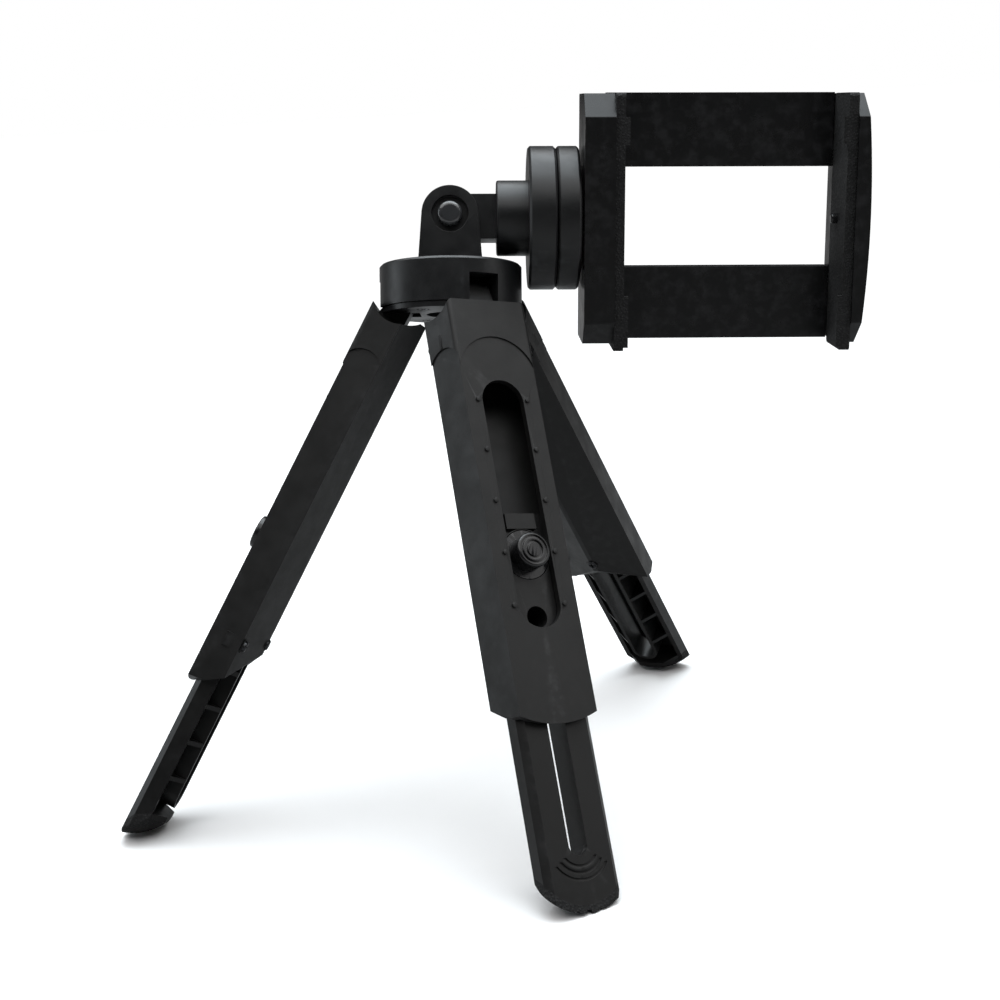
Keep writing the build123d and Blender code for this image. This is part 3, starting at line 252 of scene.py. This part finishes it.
def refine(node, group):
    """Weld, soften the edges and smooth the shading of a CAD node, by modifiers only."""
    weld = node.modifiers.new("weld", "WELD")
    weld.merge_threshold = WELD
    soft = node.modifiers.new("edges", "BEVEL")
    soft.width = EDGE_WIDTH
    soft.segments = EDGE_SEGMENTS
    soft.limit_method = "ANGLE"
    soft.angle_limit = math.radians(EDGE_ANGLE)
    soft.use_clamp_overlap = True
    node.modifiers.new("shading", "NODES").node_group = group
    flat = node.modifiers.new("flat_faces", "WEIGHTED_NORMAL")
    flat.keep_sharp = True
    flat.weight = FACE_WEIGHT


# ------------------------------------------------------------------ stage
def area_light(name, place, target, size, power, colour):
    """A soft rectangular light that faces a point."""
    data = bpy.data.lights.new(name, "AREA")
    data.shape = "RECTANGLE"
    data.size, data.size_y = size
    data.energy = power
    data.color = colour
    light = bpy.data.objects.new(name, data)
    bpy.context.scene.collection.objects.link(light)
    light.location = place
    light.rotation_euler = (Vector(target) - Vector(place)).to_track_quat("-Z", "Y").to_euler()


def studio_world():
    """A white studio that the camera sees bright, and that lights the object softly."""
    world = bpy.data.worlds.new("studio")
    world.use_nodes = True
    nodes, link = world.node_tree.nodes, world.node_tree.links.new
    nodes.clear()
    seen, lit = nodes.new("ShaderNodeBackground"), nodes.new("ShaderNodeBackground")
    seen.inputs["Color"].default_value = (1.0, 1.0, 1.0, 1.0)
    seen.inputs["Strength"].default_value = WORLD_SEEN
    lit.inputs["Strength"].default_value = WORLD_LIGHT
    path, mix = nodes.new("ShaderNodeLightPath"), nodes.new("ShaderNodeMixShader")
    link(path.outputs["Is Camera Ray"], mix.inputs[0])
    link(lit.outputs[0], mix.inputs[1])
    link(seen.outputs[0], mix.inputs[2])
    link(mix.outputs[0], nodes.new("ShaderNodeOutputWorld").inputs["Surface"])
    bpy.context.scene.world = world


def studio_floor():
    """A white paper floor: the camera sees it bright, but it throws little light back on the object."""
    mesh = bpy.data.meshes.new("floor")
    half = FLOOR_HALF
    corners = [(-half, -half, 0), (half, -half, 0), (half, half, 0), (-half, half, 0)]
    mesh.from_pydata(corners, [], [(0, 1, 2, 3)])
    floor = bpy.data.objects.new("floor", mesh)
    bpy.context.scene.collection.objects.link(floor)
    material, shader, place = node_material("paper_floor")
    nodes, link = material.node_tree.nodes, material.node_tree.links.new
    paper = spread(material, noise(material, place, FLOOR_GRAIN), 0.0, 1.0)
    seen = mixed(material, paper, (FLOOR_SEEN - FLOOR_VARIES,) * 3, (FLOOR_SEEN + FLOOR_VARIES,) * 3)
    path = nodes.new("ShaderNodeLightPath")
    shade = mixed(material, path.outputs["Is Camera Ray"], (FLOOR_BOUNCE,) * 3, seen)
    link(shade, shader.inputs["Base Color"])
    shader.inputs["Roughness"].default_value = 1.0
    shader.inputs["Specular IOR Level"].default_value = 0.0
    mesh.materials.append(material)


def studio_sun():
    """A broad even light that keeps the floor white all the way back."""
    data = bpy.data.lights.new("sky_panel", "SUN")
    data.energy = SUN_STRENGTH
    data.angle = math.radians(SUN_ANGLE)
    sun = bpy.data.objects.new("sky_panel", data)
    bpy.context.scene.collection.objects.link(sun)


def studio_camera():
    """The camera at the photograph's viewing angle."""
    data = bpy.data.cameras.new("camera")
    data.sensor_width = SENSOR
    data.lens = LENS
    data.shift_x, data.shift_y = SHIFT
    camera = bpy.data.objects.new("camera", data)
    bpy.context.scene.collection.objects.link(camera)
    yaw, pitch, roll = (math.radians(angle) for angle in (YAW, PITCH, ROLL))
    forward = Vector((math.sin(yaw) * math.cos(pitch), math.cos(yaw) * math.cos(pitch), math.sin(pitch)))
    level = Vector((math.cos(yaw), -math.sin(yaw), 0.0))
    over = level.cross(forward)
    right = level * math.cos(roll) + over * math.sin(roll)
    up = over * math.cos(roll) - level * math.sin(roll)
    turn = Matrix((right, up, -forward)).transposed().to_4x4()
    camera.matrix_world = hub_frame() @ Matrix.Translation(Vector(EYE)) @ turn
    bpy.context.scene.camera = camera


# ------------------------------------------------------------------ materials on the nodes
# Plastic: dark, light and worn colour, roughness, grain's scale and depth. Rubber: two colours, roughness,
# stipple's scale and depth. Metal: two colours, roughness, streaks' scale.
MATERIALS = {
    "leg": plastic("leg_plastic", (0.0062, 0.0061, 0.0060), (0.0092, 0.0091, 0.0090), (0.024, 0.024, 0.0245),
                   0.42, 2600.0, 0.00004, specular=0.34),
    "extension": plastic("extension_plastic", (0.0052, 0.0051, 0.0050), (0.0078, 0.0077, 0.0076),
                         (0.022, 0.022, 0.0225), 0.36, 3200.0, 0.00002, specular=0.32),
    "head": plastic("head_plastic", (0.0065, 0.0068, 0.0072), (0.0095, 0.0099, 0.0106), (0.028, 0.029, 0.031),
                    0.38, 2800.0, 0.00003, specular=0.42),
    "clamp": plastic("clamp_plastic", (0.0022, 0.0022, 0.0023), (0.0036, 0.0037, 0.0039),
                     (0.016, 0.016, 0.017), 0.30, 3000.0, 0.00002, specular=0.26),
    "bolt": plastic("bolt_plastic", (0.006, 0.006, 0.0063), (0.01, 0.01, 0.0105), (0.03, 0.03, 0.032),
                    0.2, 3600.0, 0.00001),
    # The pivot bolt is gloss black. Its dark, light and worn colours are several times lighter than the other
    # black plastics: painted sheen standing in for the reflections on its glossy head.
    "polished": plastic("gloss_bolt_painted_sheen", (0.03, 0.031, 0.033), (0.045, 0.046, 0.049), (0.08, 0.082, 0.086),
                        0.16, 3600.0, 0.00001, specular=1.0),
    "rubber": rubber("rubber", (0.0045, 0.0045, 0.0047), (0.012, 0.012, 0.0125), 0.72, 1500.0, 0.00022),
    "black_steel": metal("black_steel", (0.035, 0.036, 0.038), (0.06, 0.061, 0.064), 0.34, 900.0),
    "steel": metal("steel", (0.42, 0.43, 0.45), (0.6, 0.61, 0.63), 0.3, 900.0),
    "brass": metal("brass", (0.55, 0.38, 0.14), (0.75, 0.56, 0.26), 0.32, 900.0),
}
FINISHES = (
    ("rubber", ("jaw_pad", "foot_pad", "wheel_pad")),
    ("brass", ("thread_insert",)),
    ("steel", ("spring", "hinge_pin", "washer", "camera_stud", "pivot_nut", "slide_rail")),
    ("black_steel", ("screw",)),
    ("polished", ("pivot_bolt",)),
    ("bolt", ("jaw_nub", "leg_button")),
    ("extension", ("leg_extension",)),
    ("leg", ("leg_shell", "leg_cover")),
    ("clamp", ("clamp_frame", "moving_jaw", "arm_cover")),
)


def finish_of(name):
    """The material's key for a CAD node."""
    for key, endings in FINISHES:
        if any(ending in name for ending in endings):
            return key
    return "head"


shading = smooth_by_angle()
for name, node in frame["nodes"].items():
    node.data.materials.clear()
    node.data.materials.append(MATERIALS[finish_of(name)])
    refine(node, shading)

studio_world()
studio_floor()
studio_sun()
studio_camera()
hub_top = Vector(joints["pan_turn"]["pos_m"])
for name, (place, size, power, colour) in SOFTBOXES.items():
    area_light(name, place, hub_top, size, power, colour)
bpy.context.scene.view_settings.view_transform = "Standard"
